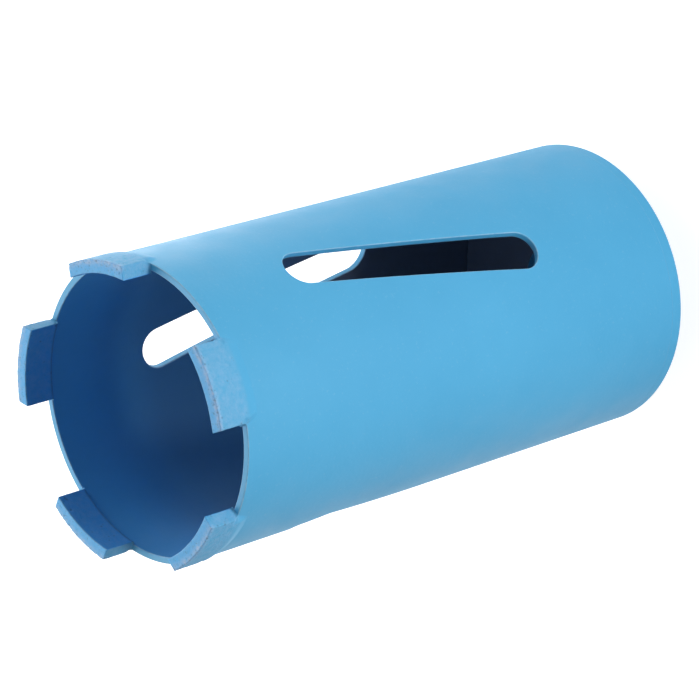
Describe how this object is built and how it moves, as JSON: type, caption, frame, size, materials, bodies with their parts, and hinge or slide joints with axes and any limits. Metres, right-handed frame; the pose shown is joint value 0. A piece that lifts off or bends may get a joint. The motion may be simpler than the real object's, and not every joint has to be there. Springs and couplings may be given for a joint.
{
  "type": "diamond core bit",
  "caption": "Dry diamond core bit: an open barrel with leaning dust slots, diamond segments brazed on the rim, and an end plate with a pipe-threaded hub.",
  "frame": {"origin": "middle of the hub's rear face, on the axis", "axes": "+Z along the axis from the threaded hub towards the cutting end; -Y through the middle of the first slot"},
  "size_m": [0.0772, 0.0774, 0.1724],
  "materials": {
    "barrel_enamel": "satin sky-blue enamel",
    "segment_enamel": "thin worn sky-blue enamel over rough sintered metal",
    "plate_enamel": "satin sky-blue enamel over turned steel",
    "hub_enamel": "satin sky-blue enamel, bare steel in the thread"
  },
  "bodies": {
    "root": {"barrel": "barrel_enamel", "diamond_segment_1": "segment_enamel", "diamond_segment_2": "segment_enamel", "diamond_segment_3": "segment_enamel", "diamond_segment_4": "segment_enamel", "diamond_segment_5": "segment_enamel", "end_plate": "plate_enamel", "threaded_hub": "hub_enamel"}
  },
  "joints": []
}
